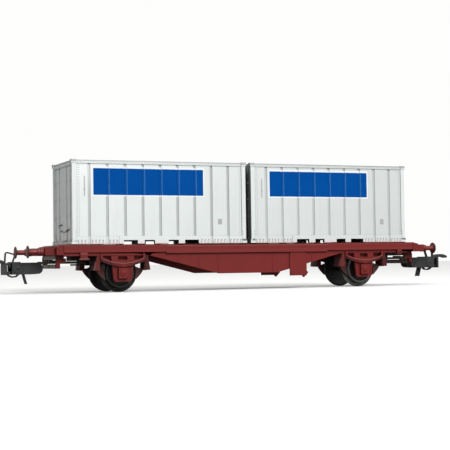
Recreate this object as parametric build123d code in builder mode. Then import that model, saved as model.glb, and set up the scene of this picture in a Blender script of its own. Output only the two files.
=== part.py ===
from build123d import *
import math
import os

os.makedirs("parts", exist_ok=True)

# Model two-axle container flat wagon with two 20-foot containers, scale 1:87.
# Millimetres.  X along the wagon, Y across it, Z up; z = 0 is under the wheel
# flanges, and the origin is midway between the axles.
# End 1 is at -X, end 2 at +X.  Side a is -Y, side b is +Y.
# The wagon looks the same from both sides: what is made for end 2 or side a
# is turned half a turn about Z to give end 1 or side b.  Only the brake plates
# hang at the same x on both sides.

# ---------------------------------------------------------------- levels (z)
Z_AXLE = 6.36           # axle centre
Z_DECK = 16.9           # top of sills and deck
Z_CONT = 17.1           # underside of the containers
Z_BAND = 13.55          # lower edge of the sill's upper band
Z_WEB_LOW = 12.7        # lower edge of the sill web over the axles
Z_BELLY = 5.5           # lower edge of the sill web in the middle
Z_HEAD_LOW = 13.1       # underside of headstock and buffer seats
Z_BUFFER = 14.45        # buffer centre
Z_BAR = 10.45           # centre of the coupler drawbar
Z_HINGE = 8.2           # centre of the hinge between drawbar and coupler head

# ---------------------------------------------------------------- lengths (x)
X_AXLE = 51.0           # half the wheelbase
X_SILL = 73.6           # end of the side sills
X_HEAD = 76.2           # outer face of the headstock
X_SEAT = 80.0           # outer face of the buffer seats
X_BUFFER = 86.2         # face of the buffer heads
X_STIRRUP = 74.0        # inner face of the coupler guide stirrup
X_PIVOT = 63.0          # coupler drawbar pivot
X_HINGE = 80.6          # hinge between drawbar and coupler head

# ---------------------------------------------------------------- widths (y)
Y_BAND = 14.2           # outside of the sill's upper band
Y_WEB = 13.3            # outside of the sill web
Y_WEB_IN = 12.4         # inside of the sill web
Y_BUFFER = 10.0         # buffer centre line

# ---------------------------------------------------------------- wheels
R_TREAD = 5.7
R_FLANGE = 7.2
RISE = R_FLANGE - Z_AXLE   # the flanges reach this far below the zero of the heights
R_AXLE = 1.0
R_JOURNAL = 0.52
R_BEARING = 0.60
Y_BACK = 7.15           # back of the flange
Y_FLANGE = 7.95         # flange meets the tread
Y_FACE = 9.95           # outer face of the rim

# ---------------------------------------------------------------- containers
C_LEN = 69.63           # 20-foot box at 1:87
C_WID = 28.02
C_HGT = 31.1
C_GAP = 1.71
C_MID = (C_LEN + C_GAP) / 2
C_WALL = 0.85           # side wall
C_POST = 1.9            # corner post, along x and y
C_CAST = 1.4            # height of a corner casting
C_SET_X = 0.3           # posts stand back from the castings, along x
C_SET_Y = 0.15          # posts and side sheets stand back from the castings, along y
C_RAIL = 1.5            # depth of the top rail
C_FLOOR = 2.85          # depth of the bottom rail
C_PLATE = (1.35, 2.5)   # floor plate, lower and upper face above the underside
PIN, PIN_H = (1.25, 0.65), 0.9         # locating pin, along x and y, height
PIN_GAP = 0.08          # between pin and hole
HOLE_IN = 1.05          # pin centre from the container's faces
TOP_HOLE_R, TOP_HOLE_IN = 0.65, 0.95


def save(part, name):
    # every piece is raised so that the flanges stand on zero
    part = part.moved(Location((0, 0, RISE)))
    part.label = name
    export_step(part, "parts/" + name + ".step")


def turned(part):
    """The same piece at the other end and the other side."""
    return part.rotate(Axis.Z, 180)


def side_plane(y):
    """Drawing plane facing side a: sketch x is X, sketch y is Z."""
    return Plane(origin=(0, y, 0), x_dir=(1, 0, 0), z_dir=(0, -1, 0))


def end_plane(x):
    """Drawing plane facing +X: sketch x is Y, sketch y is Z."""
    return Plane(origin=(x, 0, 0), x_dir=(0, 1, 0), z_dir=(1, 0, 0))


# ================================================================ side sills
BELLY_X, RISE_X = 12.4, 40.3
X_SLOT = 69.6           # middle of the slots in the band's top edge
X_STEP = 34.0           # the band sits lower between these
X_BAND = X_SILL - 0.12
# upper band of the sill, columns: x from, x to, z from, z to
BAND = (
    (-X_BAND, -X_STEP, Z_BAND + 0.42, Z_DECK - 0.2),
    (-X_STEP, X_STEP, Z_BAND - 0.1, Z_DECK - 0.45),
    (X_STEP, X_BAND, Z_BAND + 0.42, Z_DECK - 0.2),
)
# lower edge of the fish-bellied web on side a, columns: x, z
SILL_EDGE = (
    (-X_SILL, Z_WEB_LOW), (-RISE_X, Z_WEB_LOW), (-BELLY_X, Z_BELLY),
    (BELLY_X, Z_BELLY), (RISE_X, Z_WEB_LOW), (X_SILL, Z_WEB_LOW),
)
with BuildPart() as side_sill:
    with BuildSketch(side_plane(-Y_WEB_IN)):
        with BuildLine():
            Polyline(*SILL_EDGE, (X_SILL, Z_DECK), (-X_SILL, Z_DECK), close=True)
        make_face()
    extrude(amount=Y_WEB - Y_WEB_IN)
    # upper band, standing out from the web
    with BuildSketch(side_plane(-Y_WEB)):
        for xa, xb, za, zb in BAND:
            with Locations(((xa + xb) / 2, (za + zb) / 2)):
                Rectangle(xb - xa, zb - za)
    extrude(amount=Y_BAND - Y_WEB)
    # slots in the band's top edge, under the outermost corner castings
    for s in (-1, 1):
        with Locations((s * X_SLOT, -(Y_BAND - 0.2), BAND[0][3] - 0.2)):
            Box(1.7, 0.4, 0.4, mode=Mode.SUBTRACT)
save(side_sill.part, "side_sill_a")
save(turned(side_sill.part), "side_sill_b")

# small brackets on the sill, boxes, columns: x from, x to, z from, z to
BRACKETS = (
    (-67.3, -64.5, 11.8, 13.97), (-67.7, -63.9, 11.2, 11.8),
    (66.2, 68.4, 11.9, 13.97),
)
with BuildPart() as brackets:
    for xa, xb, za, zb in BRACKETS:
        with Locations(((xa + xb) / 2, -(Y_WEB + 0.4), (za + zb) / 2)):
            Box(xb - xa, 0.8, zb - za)
save(brackets.part, "sill_brackets_a")
save(turned(brackets.part), "sill_brackets_b")

# ================================================================ deck, spine
T_DECK = 0.8
with BuildPart() as deck:
    with Locations((0, 0, Z_DECK - T_DECK / 2)):
        Box(2 * X_SILL, 2 * Y_WEB_IN, T_DECK)
save(deck.part, "deck_plate")

# steel ballast plate under the deck
BALLAST = (78.0, 20.0, 1.1)
Z_BALLAST = Z_DECK - T_DECK - BALLAST[2]
with BuildPart() as ballast:
    with Locations((0, 0, Z_BALLAST + BALLAST[2] / 2)):
        Box(*BALLAST)
save(ballast.part, "ballast_plate")

Z_BEARER = 13.5         # underside of the cross bearers
Z_SPINE = 12.2          # underside of the centre sill
# cross bearers, columns: x, width along x, top z
BEARERS = (
    (-65.5, 2.0, Z_DECK - T_DECK), (-38.0, 1.4, Z_BALLAST), (-19.0, 1.4, Z_BALLAST),
    (0.0, 1.4, Z_BALLAST), (19.0, 1.4, Z_BALLAST), (38.0, 1.4, Z_BALLAST),
    (65.5, 2.0, Z_DECK - T_DECK),
)
with BuildPart() as bearers:
    for x, w, top in BEARERS:
        with Locations((x, 0, (Z_BEARER + top) / 2)):
            Box(w, 2 * Y_WEB_IN, top - Z_BEARER)
save(bearers.part, "cross_bearers")

with BuildPart() as spine:
    with Locations((0, 0, (Z_SPINE + Z_BEARER) / 2)):
        Box(2 * 68.0, 6.0, Z_BEARER - Z_SPINE)
save(spine.part, "centre_sill")

# ================================================================ headstocks
# section of the cross beam, columns: x, z
HEAD_SECTION = (
    (X_SILL, Z_HEAD_LOW), (X_HEAD, Z_HEAD_LOW), (X_HEAD, Z_DECK - 0.6), (X_SILL, Z_DECK),
)
SEAT_Y0, SEAT_Y1, SEAT_TOP = 7.6, 12.4, 15.95
with BuildPart() as headstock:
    with BuildSketch(side_plane(Y_BAND)):
        with BuildLine():
            Polyline(*HEAD_SECTION, close=True)
        make_face()
    extrude(amount=2 * Y_BAND)
    for s in (-1, 1):
        with Locations(((X_HEAD + X_SEAT) / 2, s * (SEAT_Y0 + SEAT_Y1) / 2, (Z_HEAD_LOW + SEAT_TOP) / 2)):
            Box(X_SEAT - X_HEAD, SEAT_Y1 - SEAT_Y0, SEAT_TOP - Z_HEAD_LOW)
save(headstock.part, "headstock_2")
save(turned(headstock.part), "headstock_1")

# ================================================================ buffers
# profile about the buffer axis, columns: x, radius
BUFFER = (
    (X_SEAT, 1.5), (X_SEAT + 0.5, 1.5), (X_SEAT + 0.6, 1.4), (X_SEAT + 2.3, 1.3),
    (X_SEAT + 2.3, 0.95), (X_BUFFER - 0.75, 0.95), (X_BUFFER - 0.55, 2.2), (X_BUFFER - 0.35, 2.3),
    (X_BUFFER - 0.15, 2.2), (X_BUFFER, 1.2), (X_BUFFER, 0.0),
)
with BuildPart() as buffers:
    for s in (-1, 1):
        with BuildSketch(Plane(origin=(0, s * Y_BUFFER, Z_BUFFER), x_dir=(1, 0, 0), z_dir=(0, -1, 0))):
            with BuildLine():
                Polyline((X_SEAT, 0), *BUFFER, close=True)
            make_face()
        revolve(axis=Axis((0, s * Y_BUFFER, Z_BUFFER), (1, 0, 0)))
save(buffers.part, "buffers_2")
save(turned(buffers.part), "buffers_1")

# ================================================================ stirrups
STIRRUP_Y, STIRRUP_LEG, STIRRUP_T = 10.5, 1.2, 1.5
STIRRUP_LOW, STIRRUP_HOLE, STIRRUP_R = 8.25, (9.84, 11.55), 1.3
with BuildPart() as stirrup:
    with BuildSketch(end_plane(X_STIRRUP)):
        with Locations((0, (STIRRUP_LOW + Z_HEAD_LOW) / 2)):
            loop = Rectangle(2 * STIRRUP_Y, Z_HEAD_LOW - STIRRUP_LOW)
        fillet(loop.vertices().sort_by(Axis.Z)[:2], STIRRUP_R)
        with Locations((0, sum(STIRRUP_HOLE) / 2)):
            Rectangle(2 * (STIRRUP_Y - STIRRUP_LEG), STIRRUP_HOLE[1] - STIRRUP_HOLE[0], mode=Mode.SUBTRACT)
    extrude(amount=STIRRUP_T)
    # arms running back beside the drawbar
    for s in (-1, 1):
        with BuildSketch(side_plane(-(STIRRUP_Y - STIRRUP_LEG) if s < 0 else STIRRUP_Y)):
            with BuildLine():
                Polyline((X_STIRRUP, 10.3), (X_STIRRUP - 2.2, 10.3), (X_STIRRUP - 2.2, 12.0),
                         (X_STIRRUP - 1.3, 12.0), (X_STIRRUP - 1.3, Z_WEB_LOW), (X_STIRRUP, Z_WEB_LOW), close=True)
            make_face()
        extrude(amount=STIRRUP_LEG)
save(stirrup.part, "coupler_stirrup_2")
save(turned(stirrup.part), "coupler_stirrup_1")

# ================================================================ axle guards
# outline about the axle, columns: dx, z
GUARD = (
    (-4.5, Z_WEB_LOW), (-4.1, 9.2), (-3.5, 4.1), (-3.0, 3.1),
    (3.0, 3.1), (3.5, 4.1), (4.1, 9.2), (4.5, Z_WEB_LOW),
)
GUARD_IN, GUARD_OUT, GUARD_BEAD = 12.1, 13.1, 13.3
WINDOW = (3.6, 11.1, 12.5)       # width, lower and upper edge of the gap between the legs
with BuildPart() as guards:
    for s in (-1, 1):
        with BuildSketch(side_plane(-GUARD_IN if s < 0 else GUARD_BEAD)):
            with BuildLine():
                Polyline(*[(X_AXLE + dx, z) for dx, z in GUARD], close=True)
            make_face()
            with Locations((X_AXLE, (WINDOW[1] + WINDOW[2]) / 2)):
                Rectangle(WINDOW[0], WINDOW[2] - WINDOW[1], mode=Mode.SUBTRACT)
        extrude(amount=GUARD_BEAD - GUARD_IN)
        # the face lies back inside a raised edge
        with BuildSketch(side_plane(-GUARD_OUT if s < 0 else GUARD_BEAD)):
            with BuildLine():
                Polyline(*[(X_AXLE + 0.82 * dx, 3.7 + (z - 3.15) * 0.95) for dx, z in GUARD[1:-1]], close=True)
            make_face()
        extrude(amount=GUARD_BEAD - GUARD_OUT, mode=Mode.SUBTRACT)
        # bearing for the axle journal, open to the inside
        with BuildSketch(Plane(origin=(X_AXLE, s * GUARD_IN, Z_AXLE), x_dir=(1, 0, 0), z_dir=(0, s, 0))):
            Circle(R_BEARING)
        extrude(amount=0.75, mode=Mode.SUBTRACT)
save(guards.part, "axle_guards_2")
save(turned(guards.part), "axle_guards_1")

# inner plate between wheel and sill, over each wheel
INNER_X, INNER_Y, INNER_LOW = 8.6, (10.35, 10.85), 10.5
with BuildPart() as inner:
    for s in (-1, 1):
        with Locations((X_AXLE, s * sum(INNER_Y) / 2, (INNER_LOW + Z_DECK - T_DECK) / 2)):
            Box(2 * INNER_X, INNER_Y[1] - INNER_Y[0], Z_DECK - T_DECK - INNER_LOW)
save(inner.part, "wheel_plates_2")
save(turned(inner.part), "wheel_plates_1")

# ================================================================ springs
SPRING_X, SPRING_END, SPRING_MID, SPRING_T = 8.2, (10.6, 11.4), 8.7, 1.35
SPRING_W = 0.9
# buckle and end shackles, columns: dx from, dx to, z from, z to, thickness
SPRING_PARTS = (
    (-0.8, 0.8, 8.6, 10.1, 1.0), (-8.6, -7.8, 10.5, Z_BAND, 0.6), (7.8, 8.6, 10.5, Z_BAND, 0.6),
)
with BuildPart() as springs:
    for s in (-1, 1):
        with BuildSketch(side_plane(-Y_WEB if s < 0 else Y_WEB + SPRING_W)):
            with BuildLine():
                low = ThreePointArc((X_AXLE - SPRING_X, SPRING_END[0]), (X_AXLE, SPRING_MID), (X_AXLE + SPRING_X, SPRING_END[0]))
                right = Line(low @ 1, (X_AXLE + SPRING_X, SPRING_END[1]))
                top = ThreePointArc(right @ 1, (X_AXLE, SPRING_MID + SPRING_T), (X_AXLE - SPRING_X, SPRING_END[1]))
                Line(top @ 1, low @ 0)
            make_face()
        extrude(amount=SPRING_W)
        for xa, xb, za, zb, t in SPRING_PARTS:
            with Locations((X_AXLE + (xa + xb) / 2, s * (Y_WEB + t / 2), (za + zb) / 2)):
                Box(xb - xa, t, zb - za)
save(springs.part, "leaf_springs_2")
save(turned(springs.part), "leaf_springs_1")

# ================================================================ axle boxes
BOX_W, BOX_LOW, BOX_HIGH, BOX_OUT = 3.7, 4.3, 8.15, 14.4
COVER_R, COVER_Z, COVER_T = 1.25, 6.4, 0.3
with BuildPart() as axle_boxes:
    for s in (-1, 1):
        with Locations((X_AXLE, s * (GUARD_OUT + BOX_OUT) / 2, (BOX_LOW + BOX_HIGH) / 2)):
            Box(BOX_W, BOX_OUT - GUARD_OUT, BOX_HIGH - BOX_LOW)
        with BuildSketch(Plane(origin=(X_AXLE, s * BOX_OUT, COVER_Z), x_dir=(1, 0, 0), z_dir=(0, s, 0))):
            Circle(COVER_R)
        extrude(amount=COVER_T)
save(axle_boxes.part, "axle_boxes_2")
save(turned(axle_boxes.part), "axle_boxes_1")

# ================================================================ wheelsets
# wheel profile about the axle, columns: y, radius
WHEEL = (
    (Y_BACK, R_AXLE), (Y_BACK, 6.3), (Y_BACK + 0.25, R_FLANGE), (Y_FLANGE - 0.25, R_FLANGE),
    (Y_FLANGE, R_TREAD + 0.1), (Y_FACE - 0.15, R_TREAD), (Y_FACE, R_TREAD - 0.15), (Y_FACE, 4.8),
    (Y_FACE - 0.8, 4.5), (Y_FACE - 0.6, 1.9), (Y_FACE + 0.3, 1.7), (Y_FACE + 0.3, R_AXLE),
)
# axle profile, columns: y, radius
AXLE = (
    (-12.7, 0.0), (-12.7, R_JOURNAL), (-11.0, R_JOURNAL), (-10.6, R_AXLE),
    (10.6, R_AXLE), (11.0, R_JOURNAL), (12.7, R_JOURNAL), (12.7, 0.0),
)
for end, x in (("1", -X_AXLE), ("2", X_AXLE)):
    turning = Plane(origin=(x, 0, Z_AXLE), x_dir=(0, 1, 0), z_dir=(1, 0, 0))
    with BuildPart() as axle:
        with BuildSketch(turning):
            with BuildLine():
                Polyline(*AXLE, close=True)
            make_face()
        revolve(axis=Axis((x, 0, Z_AXLE), (0, 1, 0)))
    save(axle.part, "axle_" + end)
    with BuildPart() as wheels:
        for s in (-1, 1):
            with BuildSketch(turning):
                with BuildLine():
                    Polyline(*[(s * y, r) for y, r in WHEEL], close=True)
                make_face()
            revolve(axis=Axis((x, 0, Z_AXLE), (0, 1, 0)))
    save(wheels.part, "wheels_" + end)

# ================================================================ brake gear
# hanger beside each wheel, columns: distance from the axle, z
HANGER = ((8.7, Z_WEB_LOW), (9.9, Z_WEB_LOW), (10.8, 7.4), (8.7, 7.2))
HANGER_Y = 7.3
with BuildPart() as hangers:
    for s in (-1, 1):
        for d in (-1, 1):
            with BuildSketch(side_plane(-HANGER_Y if s < 0 else Y_WEB)):
                with BuildLine():
                    Polyline(*[(X_AXLE + d * dx, z) for dx, z in HANGER], close=True)
                make_face()
            extrude(amount=Y_WEB - HANGER_Y)
            # upper part, inside the sill
            with Locations((X_AXLE + d * 9.3, s * (HANGER_Y + Y_WEB_IN) / 2, (Z_WEB_LOW + Z_DECK - T_DECK) / 2)):
                Box(1.2, Y_WEB_IN - HANGER_Y, Z_DECK - T_DECK - Z_WEB_LOW)
save(hangers.part, "brake_hangers_2")
save(turned(hangers.part), "brake_hangers_1")

SHOE_R, SHOE_Y = 6.05, (8.3, 9.9)
SHOE_LOW, SHOE_HIGH = -27.0, 20.0       # ends of the shoe, degrees about the axle
# back of the shoe, columns: distance from the axle, height above it
SHOE_BACK = ((6.3, 2.2), (7.3, 1.75), (8.7, 1.65), (8.7, 0.8), (9.05, 0.75), (8.1, -0.6), (6.5, -2.25))


def on_shoe(deg):
    return SHOE_R * math.cos(math.radians(deg)), SHOE_R * math.sin(math.radians(deg))


with BuildPart() as shoes:
    for s in (-1, 1):
        for d in (-1, 1):
            pts = [(X_AXLE + d * dx, Z_AXLE + dz) for dx, dz in
                   (on_shoe(SHOE_LOW), on_shoe((SHOE_LOW + SHOE_HIGH) / 2), on_shoe(SHOE_HIGH))]
            back = [(X_AXLE + d * dx, Z_AXLE + dz) for dx, dz in SHOE_BACK]
            with BuildSketch(side_plane(-SHOE_Y[0] if s < 0 else SHOE_Y[1])):
                with BuildLine():
                    ThreePointArc(*pts)
                    Polyline(pts[2], *back, pts[0])
                make_face()
            extrude(amount=SHOE_Y[1] - SHOE_Y[0])
save(shoes.part, "brake_shoes_2")
save(turned(shoes.part), "brake_shoes_1")

# brake plates: side a and side b hang at the same x
PLATE = (17.5, 24.9, 4.15, Z_BAND - 0.1)   # x from, x to, z from, z to
PLATE_T = 0.45
LEVER = (23.9, 5.3, 1.9)                # x, z, half diagonal
for side, s in (("a", -1), ("b", 1)):
    with BuildPart() as brake_plate:
        with Locations(((PLATE[0] + PLATE[1]) / 2, s * (Y_WEB + PLATE_T / 2), (PLATE[2] + PLATE[3]) / 2)):
            Box(PLATE[1] - PLATE[0], PLATE_T, PLATE[3] - PLATE[2])
        # four-armed lever behind the plate
        with BuildSketch(side_plane(-Y_WEB_IN if s < 0 else Y_WEB)):
            with BuildLine():
                Polyline((LEVER[0] - LEVER[2], LEVER[1]), (LEVER[0], LEVER[1] - LEVER[2]),
                         (LEVER[0] + LEVER[2], LEVER[1]), (LEVER[0], LEVER[1] + LEVER[2]), close=True)
            make_face()
        extrude(amount=Y_WEB - Y_WEB_IN)
    save(brake_plate.part, "brake_plate_" + side)

# ================================================================ drawbar posts
POST_R = 0.75
BAR_T, BAR_W = 0.9, 2.2
# housing round the pivot, boxes, columns: x from, x to, half width, z from, z to
HOUSING = (
    (58.0, 67.9, 3.6, Z_BAR + BAR_T / 2 + 0.1, Z_SPINE),
    (58.0, 66.6, 3.0, 9.2, Z_BAR - BAR_T / 2 - 0.15),
    (58.0, 59.2, 3.0, 9.2, Z_SPINE),
)
with BuildPart() as post:
    for xa, xb, hw, za, zb in HOUSING:
        with Locations(((xa + xb) / 2, 0, (za + zb) / 2)):
            Box(xb - xa, 2 * hw, zb - za)
    with BuildSketch(Plane.XY.offset(Z_BAR - BAR_T)):
        with Locations((X_PIVOT, 0)):
            Circle(POST_R)
    extrude(amount=2 * BAR_T)
save(post.part, "drawbar_post_2")
save(turned(post.part), "drawbar_post_1")

# ================================================================ couplers
TUBE_R, TUBE_Y, PIN_HINGE, CHEEK_HOLE = 0.95, 3.05, 0.45, 0.50
BOSS_X, BOSS_R = 76.9, 0.85
COLLAR_X, COLLAR_H = (73.1, 75.6), 0.5
with BuildPart() as drawbar:
    with BuildSketch(Plane.XY.offset(Z_BAR - BAR_T / 2)):
        with Locations(((X_PIVOT + BOSS_X) / 2, 0)):
            Rectangle(BOSS_X - X_PIVOT, BAR_W)
        with Locations((X_PIVOT, 0)):
            Circle(1.9)
            Circle(POST_R + 0.08, mode=Mode.SUBTRACT)
    extrude(amount=BAR_T)
    # cranked end
    with BuildSketch(side_plane(BAR_W / 2)):
        with BuildLine():
            Polyline((BOSS_X - 1.0, Z_BAR - BAR_T / 2), (BOSS_X - 1.0, Z_BAR + BAR_T / 2),
                     (79.6, Z_BAR + BAR_T / 2), (X_HINGE + 0.6, Z_HINGE + 0.6),
                     (X_HINGE - 0.7, Z_HINGE - 0.5), (78.6, Z_BAR - BAR_T / 2), close=True)
        make_face()
        with Locations((BOSS_X, Z_BAR)):
            Circle(BOSS_R)
    extrude(amount=BAR_W)
    # collar inside the stirrup
    with Locations((sum(COLLAR_X) / 2, 0, Z_BAR + (BAR_T + COLLAR_H) / 2)):
        Box(COLLAR_X[1] - COLLAR_X[0], BAR_W, COLLAR_H)
    # hinge tube with its pin
    for r, half in ((TUBE_R, TUBE_Y), (PIN_HINGE, 3.95)):
        with BuildSketch(side_plane(half)):
            with Locations((X_HINGE, Z_HINGE)):
                Circle(r)
        extrude(amount=2 * half)
save(drawbar.part, "coupler_bar_2")
save(turned(drawbar.part), "coupler_bar_1")

HEAD_X1, HEAD_XM, BLOCK_X = 90.2, 87.1, 84.4
HEAD_Z0, HEAD_Z1, HEAD_ZM = 6.3, 10.95, 10.65
HEAD_Y, CHEEK_IN, CHEEK_R = 4.2, 3.2, 1.75
SHIELD_X, SHIELD_T, SHIELD_Y = 92.0, 0.8, 3.7
SHIELD_Z = (6.2, 10.6)
CHEEK_BOSS = (88.1, 8.75, 2.0, 0.25)    # x, z, radius, height
# side view of the head, columns: x, z
HEAD_SIDE = (
    (X_HINGE, Z_HINGE - CHEEK_R), (82.9, HEAD_Z0), (HEAD_X1, HEAD_Z0), (HEAD_X1, HEAD_Z1),
    (HEAD_XM, HEAD_Z1), (HEAD_XM, HEAD_ZM), (79.5, HEAD_ZM), (X_HINGE - CHEEK_R, Z_HINGE),
)
with BuildPart() as coupler_head:
    # block with two cheeks, rounded at the hinge
    with BuildSketch(side_plane(HEAD_Y)):
        with BuildLine():
            Polyline(*HEAD_SIDE, close=True)
        make_face()
        with Locations((X_HINGE, Z_HINGE)):
            Circle(CHEEK_R)
    extrude(amount=2 * HEAD_Y)
    with Locations(((BLOCK_X + 78.0) / 2, 0, 8.6)):
        Box(BLOCK_X - 78.0, 2 * CHEEK_IN, 8.0, mode=Mode.SUBTRACT)
    with BuildSketch(side_plane(HEAD_Y + 0.1)):
        with Locations((X_HINGE, Z_HINGE)):
            Circle(CHEEK_HOLE)
    extrude(amount=2 * HEAD_Y + 0.2, mode=Mode.SUBTRACT)
    # hollow underneath
    with Locations((88.2, 0, HEAD_Z0 + 1.6)):
        Box(2.6, 6.0, 3.2, mode=Mode.SUBTRACT)
    # bosses on the cheeks
    for y in (HEAD_Y + CHEEK_BOSS[3], -HEAD_Y):
        with BuildSketch(side_plane(y)):
            with Locations((CHEEK_BOSS[0], CHEEK_BOSS[1])):
                Circle(CHEEK_BOSS[2])
        extrude(amount=CHEEK_BOSS[3])
    # bridges to the shield plate, above and below the slit
    for za, zb in ((6.4, 7.4), (9.7, 10.6)):
        with Locations(((HEAD_X1 + SHIELD_X) / 2, 0, (za + zb) / 2)):
            Box(SHIELD_X - HEAD_X1, 5.0, zb - za)
    with Locations((SHIELD_X + SHIELD_T / 2, 0, sum(SHIELD_Z) / 2)):
        Box(SHIELD_T, 2 * SHIELD_Y, SHIELD_Z[1] - SHIELD_Z[0])
    # tongue
    with BuildSketch(side_plane(1.5)):
        with BuildLine():
            under = ThreePointArc((SHIELD_X, 9.8), (95.5, 10.75), (98.1, 10.3))
            tip = ThreePointArc(under @ 1, (98.6, 10.8), (98.2, 11.3))
            over = ThreePointArc(tip @ 1, (95.5, 11.95), (SHIELD_X, 10.9))
            Line(over @ 1, under @ 0)
        make_face()
    extrude(amount=3.0)
save(coupler_head.part, "coupler_head_2")
save(turned(coupler_head.part), "coupler_head_1")

# strip hoop over the head and strip guard under it, outer line, columns: x, z
HOOP = ((89.3, 10.5), (88.2, 13.6), (91.8, 14.65), (92.1, 10.5))
GUARD_STRIP = ((91.1, 6.6), (90.8, 6.0), (89.5, 5.4), (88.0, 5.55), (86.7, 6.7))
STRIP_T = 0.5
with BuildPart() as strips:
    for path, r, half in ((HOOP, 0.7, 0.6), (GUARD_STRIP, 0.3, 0.8)):
        with BuildSketch(side_plane(half)):
            with BuildLine() as line:
                FilletPolyline(*path, radius=r)
            trace(line_width=STRIP_T)
        extrude(amount=2 * half)
strips_cut = strips.part - coupler_head.part
save(strips_cut, "coupler_strips_2")
save(turned(strips_cut), "coupler_strips_1")

# trip blade under the head, columns: x, z
BLADE = ((85.1, HEAD_Z0), (85.5, HEAD_Z0), (84.5, 2.7), (84.1, 2.7))
with BuildPart() as blade:
    with BuildSketch(side_plane(1.6)):
        with BuildLine():
            Polyline(*BLADE, close=True)
        make_face()
    extrude(amount=3.2)
save(blade.part, "coupler_blade_2")
save(turned(blade.part), "coupler_blade_1")

# ================================================================ deck pins
with BuildPart() as pins:
    for xc in (-C_MID, C_MID):
        for d in (-1, 1):
            for s in (-1, 1):
                px = xc + d * (C_LEN / 2 - HOLE_IN)
                py = s * (C_WID / 2 - HOLE_IN)
                # pad under the casting, pin up into it
                with Locations((px, py, (Z_DECK + Z_CONT) / 2)):
                    Box(1.7, 1.8, Z_CONT - Z_DECK)
                with Locations((px, py, Z_CONT + PIN_H / 2)):
                    Box(PIN[0], PIN[1], PIN_H)
save(pins.part, "container_pins")

# ================================================================ containers
# fork pockets, columns: x from the container's middle, width
POCKETS = ((-12.3, 5.4), (-4.85, 4.0), (4.65, 4.0), (12.0, 5.6))
# smooth plate along the bottom rail, x from the container's middle
BAND_X = (-16.8, 15.4)
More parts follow.
